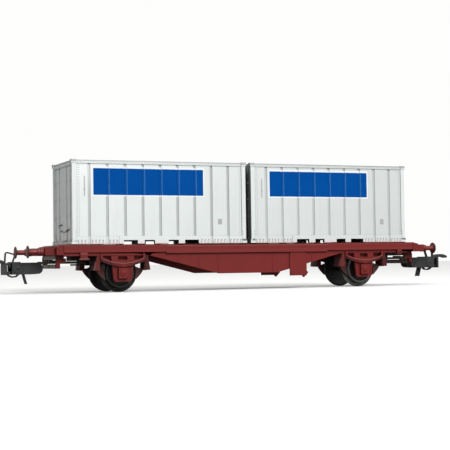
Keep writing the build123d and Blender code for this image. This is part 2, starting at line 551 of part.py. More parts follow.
# upright grooves in the side sheets
GROOVE_X0, GROOVE_STEP, GROOVES, GROOVE_W, GROOVE_D = -28.1, 6.9, 9, 1.05, 0.4
for name, xc in (("container_1", -C_MID), ("container_2", C_MID)):
    half_l, half_w = C_LEN / 2, C_WID / 2
    in_l = half_l - C_POST                      # inner face of the corner posts
    face = half_w - C_SET_Y                     # outer face of the side sheets
    z0, z1 = Z_CONT, Z_CONT + C_HGT
    grooves = [GROOVE_X0 + i * GROOVE_STEP for i in range(GROOVES)]
    outer = [dx for dx in grooves if dx < BAND_X[0] or dx > BAND_X[1]]

    with BuildPart() as floor:
        with Locations((xc, 0, z0 + sum(C_PLATE) / 2)):
            Box(2 * in_l, 2 * face - 2.8, C_PLATE[1] - C_PLATE[0])
        for s in (-1, 1):
            with Locations((xc, s * (face - 0.7), z0 + C_FLOOR / 2)):
                Box(2 * in_l, 1.4, C_FLOOR)
            with Locations((xc + sum(BAND_X) / 2, s * (face + half_w) / 2, z0 + C_FLOOR / 2)):
                Box(BAND_X[1] - BAND_X[0], C_SET_Y, C_FLOOR)
            for dx in outer:
                with Locations((xc + dx, s * (face - GROOVE_D / 2), z0 + C_FLOOR / 2)):
                    Box(GROOVE_W, GROOVE_D, C_FLOOR, mode=Mode.SUBTRACT)
        for dx, w in POCKETS:
            with Locations((xc + dx, 0, z0 + C_PLATE[0] / 2)):
                Box(w, C_WID, C_PLATE[0], mode=Mode.SUBTRACT)
    save(floor.part, name + "_floor")

    for side, s in (("a", -1), ("b", 1)):
        with BuildPart() as wall:
            with Locations((xc, s * (face - C_WALL / 2), (z0 + C_FLOOR + z1 - 0.2) / 2)):
                Box(2 * in_l, C_WALL, C_HGT - C_FLOOR - 0.2)
            for dx in grooves:
                with Locations((xc + dx, s * (face - GROOVE_D / 2), (z0 + C_FLOOR + z1 - C_RAIL) / 2)):
                    Box(GROOVE_W, GROOVE_D, C_HGT - C_FLOOR - C_RAIL, mode=Mode.SUBTRACT)
            # top rail, standing out as far as the castings
            with Locations((xc, s * (face + half_w) / 2, z1 - 0.2 - (C_RAIL - 0.2) / 2)):
                Box(2 * in_l, C_SET_Y, C_RAIL - 0.2)
        save(wall.part, name + "_side_" + side)

    with BuildPart() as roof:
        with Locations((xc, 0, z1 - 0.45 - 0.4)):
            Box(2 * in_l, 2 * (face - C_WALL), 0.8)
        # shallow cross ribs
        for i in range(9):
            with Locations((xc + (i - 4) * 7.0, 0, z1 - 0.45 + 0.075)):
                Box(3.6, 2 * (face - C_WALL) - 2.0, 0.15)
    save(roof.part, name + "_roof")

    for what, d in (("door_end", -1), ("front_end", 1)):
        with BuildPart() as end:
            for s in (-1, 1):
                # corner post with its castings
                x_in, y_in = half_l - C_POST, half_w - C_POST
                with Locations((xc + d * (x_in + half_l - C_SET_X) / 2, s * (y_in + face) / 2, (z0 + z1) / 2)):
                    Box(C_POST - C_SET_X, C_POST - C_SET_Y, C_HGT - 0.4)
                for zc in (z0 + C_CAST / 2, z1 - C_CAST / 2):
                    with Locations((xc + d * (half_l - C_POST / 2), s * (half_w - C_POST / 2), zc)):
                        Box(C_POST, C_POST, C_CAST)
            # wall between the posts, with header and sill
            wall_x = half_l - C_SET_X
            with Locations((xc + d * (wall_x - 0.35 - 0.4), 0, (z0 + 0.2 + z1 - 0.45) / 2)):
                Box(0.8, C_WID - 2 * C_POST, C_HGT - 0.65)
            for za, zb in ((z0 + 0.2, z0 + 1.7), (z1 - 2.0, z1 - 0.3)):
                with Locations((xc + d * (wall_x - 0.5), 0, (za + zb) / 2)):
                    Box(1.0, C_WID - 2 * C_POST, zb - za)
            if what == "door_end":
                # seam between the two leaves, lock bars
                with Locations((xc + d * (wall_x - 0.4), 0, (z0 + z1) / 2)):
                    Box(0.1, 0.2, C_HGT - 3.7, mode=Mode.SUBTRACT)
                for y in (-10.5, -5.1, 5.1, 10.5):
                    with Locations((xc + d * (wall_x - 0.25), y, (z0 + z1) / 2 - 0.15)):
                        Box(0.3, 0.45, C_HGT - 2.3)
            else:
                # upright grooves
                for i in range(7):
                    with Locations((xc + d * (wall_x - 0.35 - 0.15), (i - 3) * 3.4, (z0 + z1) / 2)):
                        Box(0.3, 1.0, C_HGT - 4.6, mode=Mode.SUBTRACT)
            # holes in the castings
            for s in (-1, 1):
                with Locations((xc + d * (half_l - HOLE_IN), s * (half_w - HOLE_IN), z0 + 0.5)):
                    Box(PIN[0] + 2 * PIN_GAP, PIN[1] + 2 * PIN_GAP, 1.1, mode=Mode.SUBTRACT)
                with BuildSketch(Plane.XY.offset(z1)):
                    with Locations((xc + d * (half_l - TOP_HOLE_IN), s * (half_w - TOP_HOLE_IN))):
                        Circle(TOP_HOLE_R)
                extrude(amount=-1.05, mode=Mode.SUBTRACT)
        save(end.part, name + "_" + what)
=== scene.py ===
import math

import bpy
from mathutils import Matrix, Vector


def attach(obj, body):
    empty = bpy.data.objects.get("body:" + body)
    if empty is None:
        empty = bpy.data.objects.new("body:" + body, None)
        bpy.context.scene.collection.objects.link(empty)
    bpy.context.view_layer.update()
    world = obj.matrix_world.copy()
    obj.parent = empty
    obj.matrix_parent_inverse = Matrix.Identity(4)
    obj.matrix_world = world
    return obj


# Model flatcar with two containers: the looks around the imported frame.
# Metres, the same frame as the CAD: +X along the wagon, +Y to side b, +Z up.
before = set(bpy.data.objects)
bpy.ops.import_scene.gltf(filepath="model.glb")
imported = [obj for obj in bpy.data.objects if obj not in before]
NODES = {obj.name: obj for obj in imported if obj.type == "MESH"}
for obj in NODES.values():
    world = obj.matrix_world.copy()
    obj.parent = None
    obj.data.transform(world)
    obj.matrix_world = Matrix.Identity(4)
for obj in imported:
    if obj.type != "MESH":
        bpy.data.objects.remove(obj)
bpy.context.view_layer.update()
MM = 0.001

# ------------------------------------------------------------------ places (mm)
# heights count from a level above the floor, where the flanges stand
RISE = 0.84
C_MID = 35.67           # middle of each container, from the wagon's middle
C_HALF = 34.815         # half the length of a container
C_FACE = 13.86          # outer face of the side sheets
Z_CONT, Z_TOP = 17.1, 48.2
BAND_X = (-16.8, 15.4)  # smooth plate on the bottom rail, from the container's middle
GROOVES = [-28.1 + 6.9 * i for i in range(9)]
POCKETS = ((-12.3, 5.4), (-4.85, 4.0), (4.65, 4.0), (12.0, 5.6))   # fork pockets: middle, width
X_AXLE, Z_AXLE = 51.0, 6.36
Y_WEB, Y_BAND = 13.3, 14.2
Z_BAND = 13.55


# ================================================================== materials
class Paint:
    """A node-based material. Patterns follow object coordinates, in metres."""

    def __init__(self, name):
        self.mat = bpy.data.materials.new(name)
        self.mat.use_nodes = True
        self.tree = self.mat.node_tree
        self.tree.nodes.clear()
        out = self.add("ShaderNodeOutputMaterial")
        self.bsdf = self.add("ShaderNodeBsdfPrincipled")
        self.link(self.bsdf.outputs[0], out.inputs[0])
        self.pos = self.add("ShaderNodeTexCoord").outputs["Object"]
        sep = self.add("ShaderNodeSeparateXYZ")
        self.link(self.pos, sep.inputs[0])
        self.x, self.y = sep.outputs[:2]
        self.z = self.calc("SUBTRACT", sep.outputs[2], RISE * MM)

    def add(self, kind, **props):
        n = self.tree.nodes.new(kind)
        for k, v in props.items():
            setattr(n, k, v)
        return n

    def link(self, a, b):
        if isinstance(a, (int, float)):
            b.default_value = a
        elif isinstance(a, (tuple, list)):
            b.default_value = tuple(a) + ((1.0,) if len(a) == 3 and len(b.default_value) == 4 else ())
        else:
            self.tree.links.new(a, b)

    def calc(self, op, a, b=0.0, c=0.0, clamp=False):
        n = self.add("ShaderNodeMath", operation=op, use_clamp=clamp)
        self.link(a, n.inputs[0])
        self.link(b, n.inputs[1])
        if op in ("MULTIPLY_ADD", "SMOOTH_MIN", "SMOOTH_MAX", "COMPARE"):
            self.link(c, n.inputs[2])
        return n.outputs[0]

    def remap(self, v, a, b, c, d, smooth=False):
        n = self.add("ShaderNodeMapRange", interpolation_type="SMOOTHSTEP" if smooth else "LINEAR")
        for i, q in enumerate((v, a, b, c, d)):
            self.link(q, n.inputs[i])
        return n.outputs[0]

    def noise(self, scale, detail=3.0, rough=0.5, stretch=None):
        n = self.add("ShaderNodeTexNoise")
        n.inputs["Scale"].default_value = scale
        n.inputs["Detail"].default_value = detail
        n.inputs["Roughness"].default_value = rough
        v = self.pos
        if stretch:
            m = self.add("ShaderNodeVectorMath", operation="MULTIPLY")
            self.link(v, m.inputs[0])
            self.link(stretch, m.inputs[1])
            v = m.outputs[0]
        self.link(v, n.inputs["Vector"])
        return n.outputs["Fac"]

    def mix(self, fac, a, b, blend="MIX"):
        n = self.add("ShaderNodeMix", data_type="RGBA", blend_type=blend)
        self.link(fac, n.inputs[0])
        self.link(a, n.inputs[6])
        self.link(b, n.inputs[7])
        return n.outputs[2]

    def between(self, v, lo, hi):
        """1 where lo < v < hi."""
        return self.calc("MULTIPLY", self.calc("GREATER_THAN", v, lo), self.calc("LESS_THAN", v, hi))

    def edges(self, radius=0.00012, reach=0.10):
        """1 along edges: where a rounded normal leaves the true one."""
        b = self.add("ShaderNodeBevel", samples=4)
        b.inputs["Radius"].default_value = radius
        g = self.add("ShaderNodeNewGeometry")
        d = self.add("ShaderNodeVectorMath", operation="DOT_PRODUCT")
        self.link(b.outputs[0], d.inputs[0])
        self.link(g.outputs["Normal"], d.inputs[1])
        return self.remap(d.outputs["Value"], 1.0, 1.0 - reach, 0.0, 1.0)

    def facing(self):
        """Components of the face's normal, in object space."""
        g = self.add("ShaderNodeNewGeometry")
        t = self.add("ShaderNodeVectorTransform", vector_type="NORMAL", convert_from="WORLD", convert_to="OBJECT")
        self.link(g.outputs["True Normal"], t.inputs[0])
        sep = self.add("ShaderNodeSeparateXYZ")
        self.link(t.outputs[0], sep.inputs[0])
        return sep.outputs

    def corners(self, distance=0.0012, low=0.35, high=0.95):
        """1 in recesses, 0 in the open."""
        a = self.add("ShaderNodeAmbientOcclusion", samples=4)
        a.inputs["Distance"].default_value = distance
        return self.remap(a.outputs["AO"], low, high, 1.0, 0.0)

    def bump(self, height, strength=0.3, distance=0.00002):
        n = self.add("ShaderNodeBump")
        n.inputs["Strength"].default_value = strength
        n.inputs["Distance"].default_value = distance
        self.link(height, n.inputs["Height"])
        self.link(n.outputs[0], self.bsdf.inputs["Normal"])

    def set(self, **sockets):
        names = {
            "color": "Base Color", "rough": "Roughness", "metal": "Metallic",
            "spec": "Specular IOR Level", "coat": "Coat Weight", "coat_rough": "Coat Roughness",
        }
        for k, v in sockets.items():
            self.link(v, self.bsdf.inputs[names[k]])
        return self


def scaled(c, k):
    return tuple(min(1.0, q * k) for q in c)


def grained(name, base, rough=0.45, spec=0.3, metal=0.0, grime_and_shade=None, worn=None,
            mottling=0.10, grain=0.05, wear=0.35, dirt_and_shade=0.6, bump=0.25):
    """Moulded or painted plastic: mottling, fine grain, paler rubbed edges, and darker recesses that are part soiling
    and part painted shade.
    """
    p = Paint(name)
    worn = worn or scaled(base, 1.45)
    grime_and_shade = grime_and_shade or scaled(base, 0.45)
    big = p.noise(240.0, 4.0, 0.55)
    fine = p.noise(5200.0, 2.0, 0.6)
    c = p.mix(big, scaled(base, 1.0 - mottling), scaled(base, 1.0 + mottling))
    c = p.mix(p.calc("MULTIPLY", fine, grain * 4, clamp=True), c, scaled(base, 0.8))
    rub = p.calc("MULTIPLY", p.edges(), p.remap(p.noise(900.0, 3.0), 0.35, 0.65, 0.25, 1.0))
    c = p.mix(p.calc("MULTIPLY", rub, wear, clamp=True), c, worn)
    # darker in the recesses: soiling with painted shade
    c = p.mix(p.calc("MULTIPLY", p.corners(), dirt_and_shade, clamp=True), c, grime_and_shade)
    p.set(color=c, spec=spec, metal=metal)
    p.set(rough=p.remap(p.noise(700.0, 3.0), 0.3, 0.7, rough - 0.06, rough + 0.08))
    p.bump(p.calc("ADD", fine, p.calc("MULTIPLY", big, 1.5)), bump)
    return p


RED = (0.205, 0.0185, 0.0160)
RED_DARK = (0.040, 0.0050, 0.0045)
SILVER = (0.785, 0.825, 0.812)
BLACK = (0.0325, 0.0345, 0.0345)



def darker_to_end_1(p, much=0.15):
    """Darker towards end 1."""
    c = p.bsdf.inputs["Base Color"].links[0].from_socket
    p.set(color=p.mix(p.remap(p.x, -70.0 * MM, 60.0 * MM, much, 0.0), c, (0.030, 0.020, 0.018)))
    return p.mat


red = darker_to_end_1(grained("frame_red", RED, rough=0.48, spec=0.22, grime_and_shade=RED_DARK, worn=(0.30, 0.040, 0.034)))


def recessed(name, base=RED, under=0.7):
    """Frame red: the band's lower part lighter, a painted highlight on the band's upper edge, painted shade in the
    recess under the band and in the gap under the containers, painted light in the shaded strip under the band near
    the ends, on the inner faces and on the undersides.
    """
    p = grained(name, base, rough=0.48, spec=0.22, grime_and_shade=RED_DARK, worn=(0.30, 0.040, 0.034), dirt_and_shade=0.30)
    c = p.bsdf.inputs["Base Color"].links[0].from_socket
    inner = p.calc("LESS_THAN", p.calc("ABSOLUTE", p.x), 34.0 * MM)
    band = p.calc("GREATER_THAN", p.calc("ABSOLUTE", p.y), 13.5 * MM)
    band = p.calc("MULTIPLY", band, p.calc("GREATER_THAN", p.z, 13.4 * MM))
    c = p.mix(p.calc("MULTIPLY", band, p.remap(p.z, 14.7 * MM, 15.1 * MM, 0.45, 0.0, smooth=True)), c, (0.225, 0.030, 0.027))
    # painted highlight along the band's upper edge, stronger in the middle
    top = p.mix(inner, p.remap(p.z, 16.25 * MM, 16.5 * MM, 0.0, 0.28, smooth=True), p.remap(p.z, 15.95 * MM, 16.2 * MM, 0.0, 0.55, smooth=True))
    c = p.mix(p.calc("MULTIPLY", band, top), c, (0.30, 0.080, 0.072))
    # painted shade in the recess under the band
    low = p.mix(inner, p.between(p.z, 12.75 * MM, 14.0 * MM), p.calc("MULTIPLY", p.between(p.z, 12.9 * MM, 13.5 * MM), 0.6))
    c = p.mix(p.calc("MULTIPLY", p.calc("MULTIPLY", low, p.calc("SUBTRACT", 1.0, band)), under), c, RED_DARK)
    # painted light: a lighter red in the shaded strip under the band near the ends, more at end 1
    soft = p.calc("MULTIPLY", p.between(p.z, 13.0 * MM, 14.0 * MM), p.calc("SUBTRACT", 1.0, inner))
    soft = p.calc("MULTIPLY", soft, p.between(p.calc("ABSOLUTE", p.y), 12.9 * MM, 13.6 * MM))
    c = p.mix(p.calc("MULTIPLY", soft, p.remap(p.x, -34.0 * MM, 34.0 * MM, 0.85, 0.20)), c, (0.30, 0.030, 0.027))
    # painted light: the inner faces are a lighter red
    inside = p.calc("LESS_THAN", p.calc("ABSOLUTE", p.y), 12.6 * MM)
    c = p.mix(p.calc("MULTIPLY", inside, 0.85), c, (0.29, 0.052, 0.044))
    # painted shade on the top of the web in the gap under the containers
    gap = p.calc("MULTIPLY", p.calc("GREATER_THAN", p.z, 16.2 * MM), p.calc("LESS_THAN", p.calc("ABSOLUTE", p.y), 13.5 * MM))
    c = p.mix(p.calc("MULTIPLY", gap, 0.45), c, (0.022, 0.008, 0.007))
    # painted light: lighter undersides, greyish below the web and red below the band
    down = p.calc("LESS_THAN", p.facing()[2], -0.4)
    c = p.mix(p.calc("MULTIPLY", down, p.remap(band, 0.0, 1.0, 0.45, 0.85)), c, p.mix(band, (0.17, 0.10, 0.09), (0.48, 0.060, 0.055)))
    p.set(color=c)
    return darker_to_end_1(p)


def spring_paint():
    """Leaf springs: dark below the upper leaf towards its ends."""
    p = grained("spring_red", scaled(RED, 0.95), rough=0.5, spec=0.22, grime_and_shade=RED_DARK, worn=(0.30, 0.05, 0.045))
    c = p.bsdf.inputs["Base Color"].links[0].from_socket
    dx = p.calc("SUBTRACT", p.calc("ABSOLUTE", p.x), X_AXLE * MM)
    arc = p.calc("SUBTRACT", p.z, p.calc("MULTIPLY", p.calc("MULTIPLY", dx, dx), 1.93 / 8.2 ** 2 / MM))
    ends = p.calc("MULTIPLY", p.remap(p.calc("ABSOLUTE", dx), 2.0 * MM, 5.5 * MM, 0.0, 0.75, smooth=True), p.calc("LESS_THAN", arc, 9.45 * MM))
    p.set(color=p.mix(ends, c, (0.035, 0.006, 0.006)))
    return darker_to_end_1(p)


def bracket_paint():
    """Brackets on the sill with painted highlights and painted shade; the one away from the long tread is in painted
    shade.
    """
    p = grained("bracket_red", scaled(RED, 1.0), rough=0.5, spec=0.25, grime_and_shade=RED_DARK, worn=(0.36, 0.06, 0.05))
    c = p.bsdf.inputs["Base Color"].links[0].from_socket
    painted_shade = p.calc("LESS_THAN", p.calc("MULTIPLY", p.x, p.calc("SIGN", p.y)), 0.0)
    top = p.remap(p.z, 13.2 * MM, 13.6 * MM, 0.0, 0.5, smooth=True)
    # painted shade on the body and below the foot, painted highlights on the top and on the lip of the foot
    c = p.mix(p.calc("MULTIPLY", p.between(p.z, 11.85 * MM, 13.0 * MM), 0.35), c, (0.060, 0.009, 0.008))
    c = p.mix(top, c, (0.34, 0.095, 0.085))
    c = p.mix(p.calc("MULTIPLY", p.between(p.z, 11.45 * MM, 11.85 * MM), 0.5), c, (0.36, 0.13, 0.115))
    c = p.mix(p.calc("MULTIPLY", p.calc("LESS_THAN", p.z, 11.45 * MM), 0.55), c, (0.050, 0.008, 0.007))
    # painted shade on the bracket towards +X on side a and towards -X on side b
    c = p.mix(p.calc("MULTIPLY", painted_shade, 0.60), c, (0.050, 0.009, 0.008))
    p.set(color=c)
    return darker_to_end_1(p)


def low_black(p):
    """Black below, as cast above."""
    c = p.bsdf.inputs["Base Color"].links[0].from_socket
    p.set(color=p.mix(p.remap(p.z, 12.2 * MM, 12.6 * MM, 0.92, 0.0, smooth=True), c, (0.012, 0.011, 0.011)))
    return p.mat


def hanger_paint():
    """Brake hangers: greyer faces turned along the wagon with painted light low on their outer part, and a painted
    shadow on the side of each wheel towards +X.
    """
    p = grained("hanger_red", (0.165, 0.0200, 0.0175), rough=0.55, spec=0.18, grime_and_shade=(0.020, 0.006, 0.006),
                worn=(0.20, 0.035, 0.030), dirt_and_shade=0.7)
    c = p.bsdf.inputs["Base Color"].links[0].from_socket
    off = p.calc("MULTIPLY", p.calc("SUBTRACT", p.calc("ABSOLUTE", p.x), 51.0 * MM), p.calc("SIGN", p.x))
    painted_shadow = p.calc("GREATER_THAN", off, 0.0)
    across = p.calc("GREATER_THAN", p.calc("ABSOLUTE", p.facing()[0]), 0.5)
    # painted light low on the outer part of the faces turned along the wagon, more at end 1
    pale = p.calc("MULTIPLY", p.calc("LESS_THAN", p.z, 10.5 * MM), p.calc("GREATER_THAN", p.calc("ABSOLUTE", p.y), 11.6 * MM))
    c = p.mix(across, c, p.mix(p.noise(700.0, 4.0), (0.10, 0.028, 0.026), (0.16, 0.045, 0.042)))
    pale = p.calc("MULTIPLY", pale, p.remap(p.x, -30.0 * MM, 30.0 * MM, 1.0, 0.30))
    c = p.mix(p.calc("MULTIPLY", across, pale), c, p.mix(p.noise(700.0, 4.0), (0.48, 0.27, 0.26), (0.66, 0.40, 0.39)))
    # painted shadow on the side of each wheel towards +X
    c = p.mix(p.calc("MULTIPLY", painted_shadow, 0.62), c, (0.035, 0.008, 0.007))
    p.set(color=c)
    return darker_to_end_1(p, 0.30)


sill_red, guard_red, hanger_red = recessed("sill_red", under=0.42), recessed("guard_red", scaled(RED, 0.93), 0.6), hanger_paint()
bracket_red, spring_red = bracket_paint(), spring_paint()
# painted light: the wheel plates, in shade behind the guard windows, are a lighter red
plate_red = grained("plate_red", (0.34, 0.055, 0.050), rough=0.55, spec=0.18, grime_and_shade=(0.060, 0.016, 0.015), dirt_and_shade=0.35).mat
# painted highlight: the top leaf of each spring is a paler red
leaf_highlight = grained("leaf_highlight", (0.275, 0.078, 0.070), rough=0.5, spec=0.25, grime_and_shade=(0.09, 0.03, 0.03), dirt_and_shade=0.4).mat
red_head = darker_to_end_1(grained("headstock_red", scaled(RED, 0.90), rough=0.5, spec=0.22, grime_and_shade=RED_DARK, worn=(0.27, 0.045, 0.04)))
red_deep = grained("underframe_red", (0.155, 0.0200, 0.0175), rough=0.55, spec=0.18, grime_and_shade=(0.020, 0.006, 0.006),
                   worn=(0.20, 0.035, 0.030), dirt_and_shade=0.7).mat
shoe_dark = grained("shoe_brown", (0.070, 0.026, 0.024), rough=0.6, spec=0.25, grime_and_shade=(0.012, 0.007, 0.006),
                    worn=(0.13, 0.06, 0.056)).mat
post_grey = low_black(grained("post_grey", (0.10, 0.085, 0.08), rough=0.5, spec=0.3, grime_and_shade=(0.012, 0.010, 0.009),
                    worn=(0.20, 0.18, 0.17)))
black = grained("coupler_black", BLACK, rough=0.42, spec=0.35, grime_and_shade=(0.008, 0.008, 0.008), worn=(0.10, 0.10, 0.10),
                wear=0.5).mat
bar_black = grained("bar_black", (0.056, 0.050, 0.046), rough=0.42, spec=0.4, grime_and_shade=(0.010, 0.009, 0.009), worn=(0.14, 0.13, 0.12),
                    wear=0.5).mat
strip_metal = grained("strip_steel", (0.045, 0.045, 0.043), rough=0.36, spec=0.5, metal=0.55, grime_and_shade=(0.012, 0.012, 0.011),
                      worn=(0.20, 0.20, 0.19), wear=0.6).mat
gear_grey = grained("gear_grey", (0.46, 0.46, 0.45), rough=0.42, spec=0.4, metal=0.15, grime_and_shade=(0.12, 0.12, 0.115),
                    worn=(0.72, 0.72, 0.71), wear=0.5, dirt_and_shade=0.9).mat
gear_dark = grained("gear_dark", (0.33, 0.335, 0.33), rough=0.45, spec=0.3, metal=0.15, grime_and_shade=(0.05, 0.05, 0.048),
                    worn=(0.40, 0.40, 0.39), wear=0.5, dirt_and_shade=0.9).mat
# painted reflection of the red frame, for the strips under the containers
foot_reflection = grained("foot_reflection_strip", (0.62, 0.47, 0.455), rough=0.42, spec=0.3, metal=0.1, grime_and_shade=(0.30, 0.12, 0.11), worn=(0.8, 0.62, 0.60),
                    dirt_and_shade=0.3).mat
rivet_grey = grained("rivet_grey", (0.36, 0.37, 0.365), rough=0.42, spec=0.4, metal=0.1, grime_and_shade=(0.12, 0.12, 0.115),
                     worn=(0.75, 0.75, 0.74), dirt_and_shade=1.0).mat


def silver_paint(name, xc=None, side=0, shade=1.0, end=False, painted_shade=0.75, under=None):
    """Silver paint with fine flakes. On a side wall it carries a plain blue panel with a white border."""
    p = Paint(name)
    base = scaled(SILVER, shade)
    big = p.noise(130.0, 4.0, 0.55)
    flake = p.noise(9000.0, 1.0, 0.5)
    streak = p.noise(1.0, 3.0, 0.6, stretch=(900.0, 900.0, 45.0))
    c = p.mix(big, scaled(base, 0.955), scaled(base, 1.03))
    c = p.mix(p.calc("MULTIPLY", p.remap(streak, 0.52, 0.75, 0.0, 1.0), 0.22, clamp=True), c, scaled(base, 0.80))
    c = p.mix(p.calc("MULTIPLY", p.remap(flake, 0.55, 0.75, 0.0, 1.0), 0.25, clamp=True), c, scaled(base, 1.15))
    # dust and shade in the corners
    c = p.mix(p.calc("MULTIPLY", p.corners(0.0011, 0.30, 0.92), 0.12 if end else 0.62, clamp=True), c, scaled(base, 0.34))
    # painted highlight along the edges
    c = p.mix(p.calc("MULTIPLY", p.edges(), 0.30, clamp=True), c, scaled(base, 1.2))
    metal, rough = 0.22, p.remap(p.noise(600.0, 3.0), 0.3, 0.7, 0.36, 0.48)
    if xc is not None:
        # painted shade on the floors of the grooves
        deep = p.calc("LESS_THAN", p.calc("ABSOLUTE", p.y), (C_FACE - 0.12) * MM)
        c = p.mix(p.calc("MULTIPLY", deep, painted_shade), c, scaled(base, 0.60))
        # painted shade: the groove walls a little darker
        nx, _, nz = p.facing()
        wall = p.calc("GREATER_THAN", p.calc("ABSOLUTE", nx), 0.5)
        c = p.mix(p.calc("MULTIPLY", wall, 0.8), c, scaled(base, 0.95))
        # painted shade beside the corner post of the front end, where the sheet meets it
        post_shade = p.between(p.x, (xc + C_HALF - 2.21) * MM, (xc + C_HALF - 1.85) * MM)
        c = p.mix(p.calc("MULTIPLY", post_shade, 0.85), c, scaled(base, 0.22))
        # dust and painted shade along the roof's edge and below the top rail
        lip = p.calc("GREATER_THAN", p.z, (Z_TOP - 0.70) * MM)
        low = p.between(p.z, (Z_TOP - 1.82) * MM, (Z_TOP - 1.47) * MM)
        line = p.calc("ADD", p.calc("MULTIPLY", lip, 0.80), p.calc("MULTIPLY", low, 0.55), clamp=True)
        c = p.mix(line, c, scaled(base, 0.50))
        # painted light falloff: the sides darker towards end 2
        c = p.mix(p.remap(p.x, -70.0 * MM, 70.0 * MM, 0.0, 0.155), c, (0.0, 0.0, 0.0))
        # painted light: paler towards the top near end 1, below the top rail
        top_light = p.calc("MULTIPLY", p.remap(p.x, -70.0 * MM, -25.0 * MM, 0.42, 0.0), p.remap(p.z, 33.0 * MM, 46.0 * MM, 0.0, 1.0, smooth=True))
        top_light = p.calc("MULTIPLY", top_light, p.calc("LESS_THAN", p.z, (Z_TOP - 1.85) * MM))
        c = p.mix(top_light, c, (0.93, 0.96, 0.95))
        # printed panel: on side a it runs from 26.5 mm left of the middle to 16.9 mm right of it
        along = p.calc("MULTIPLY", p.calc("SUBTRACT", p.x, xc * MM), float(side))
        outer = p.calc("MULTIPLY", p.between(along, -26.95 * MM, 17.35 * MM), p.between(p.z, 34.68 * MM, 45.72 * MM))
        inner = p.calc("MULTIPLY", p.between(along, -26.5 * MM, 16.9 * MM), p.between(p.z, 35.15 * MM, 45.0 * MM))
        front = p.calc("GREATER_THAN", p.calc("MULTIPLY", p.y, -float(side)), 13.3 * MM)
        outer = p.calc("MULTIPLY", outer, front)
        inner = p.calc("MULTIPLY", inner, front)
        white = p.mix(big, (0.86, 0.90, 0.93), (0.92, 0.95, 0.97))
        speck = p.remap(p.noise(1500.0, 4.0, 0.7), 0.62, 0.80, 0.0, 0.35)
        blue = p.mix(big, (0.000, 0.068, 0.310), (0.001, 0.082, 0.360))
        blue = p.mix(speck, blue, (0.004, 0.11, 0.40))
        # painted highlight on the print beside each groove
        step = p.calc("FLOORED_MODULO", p.calc("SUBTRACT", p.x, (xc + GROOVES[0] - 3.45) * MM), 6.9 * MM)
        groove_highlight = p.calc("MULTIPLY", p.between(step, 3.85 * MM, 4.5 * MM), p.remap(p.noise(500.0, 3.0), 0.3, 0.7, 0.55, 1.0))
        blue = p.mix(p.calc("MULTIPLY", groove_highlight, 0.75), blue, (0.045, 0.19, 0.50))
        # painted light on the print on the groove walls
        blue = p.mix(wall, blue, (0.03, 0.17, 0.48))
        c = p.mix(outer, c, white)
        c = p.mix(inner, c, blue)
        metal = p.remap(outer, 0.0, 1.0, 0.22, 0.0)
        rough = p.calc("MULTIPLY_ADD", outer, 0.10, rough)
        p.set(spec=p.remap(inner, 0.0, 1.0, 0.3, 0.02))
    elif end:
        # darker header with a dark top edge, faint shade beside the lock bars and above the sill
        head = p.calc("MULTIPLY", p.calc("GREATER_THAN", p.z, 46.15 * MM), p.calc("LESS_THAN", p.z, 47.4 * MM))
        c = p.mix(p.calc("MULTIPLY", head, 0.03), c, scaled(base, 0.45))
        lip = p.remap(p.z, (Z_TOP - 1.10) * MM, (Z_TOP - 0.80) * MM, 0.0, 0.66, smooth=True)
        c = p.mix(lip, c, scaled(base, 0.35))
        # painted light just below the header
        c = p.mix(p.calc("MULTIPLY", p.between(p.z, 45.4 * MM, 46.25 * MM), 0.8), c, (0.80, 0.86, 0.88))
        ay = p.calc("ABSOLUTE", p.y)
        for y in (5.1, 10.5):
            bar = p.calc("MULTIPLY", p.between(ay, (y - 0.45) * MM, (y + 0.45) * MM), p.between(p.z, 19.0 * MM, 46.1 * MM))
            c = p.mix(p.calc("MULTIPLY", bar, 0.08), c, scaled(base, 0.45))
            bar = p.calc("MULTIPLY", p.between(ay, (y - 0.35) * MM, (y + 0.55) * MM), p.between(p.z, 46.1 * MM, 48.5 * MM))
            c = p.mix(p.calc("MULTIPLY", bar, 0.34), c, scaled(base, 0.35))
        sill = p.calc("MULTIPLY", p.between(p.z, 17.95 * MM, 18.75 * MM), p.remap(p.noise(420.0, 2.0), 0.40, 0.54, 0.20, 1.0))
        c = p.mix(sill, c, scaled(base, 0.26))
        # shade beside the lock bars, less by the corner posts
        reach = p.calc("MULTIPLY", p.remap(ay, 10.9 * MM, 11.6 * MM, 1.0, 0.35, smooth=True), p.remap(p.z, 44.0 * MM, 45.8 * MM, 1.0, 0.15, smooth=True))
        c = p.mix(p.calc("MULTIPLY", p.corners(0.0060, 0.20, 0.75), reach), c, scaled(base, 0.15))
        # painted light on the underside of the header
        under_head = p.calc("MULTIPLY", p.calc("LESS_THAN", p.facing()[2], -0.5), p.between(p.z, 45.5 * MM, 47.0 * MM))
        c = p.mix(under_head, c, (0.90, 0.96, 0.98))
        # shaded end inside the gap between the containers
        gap = p.calc("MULTIPLY", p.between(p.x, 0.0, 3.0 * MM), p.calc("GREATER_THAN", p.calc("ABSOLUTE", p.facing()[0]), 0.5))
        gap = p.calc("MULTIPLY", gap, p.remap(p.z, 20.0 * MM, 46.0 * MM, 0.72, 0.60))
        c = p.mix(gap, c, scaled(base, 0.12))
        p.set(spec=0.35)
    elif under is not None:
        # painted shade: the floor is near black inside the fork pockets
        nx, _, nz = p.facing()
        pocket = p.calc("MULTIPLY", p.calc("LESS_THAN", nz, -0.5), p.calc("GREATER_THAN", p.z, 17.4 * MM))
        pocket = p.calc("MAXIMUM", pocket, p.calc("GREATER_THAN", p.calc("ABSOLUTE", nx), 0.5))
        pocket = p.calc("MULTIPLY", pocket, p.between(p.x, (under - 20.0) * MM, (under + 20.0) * MM))
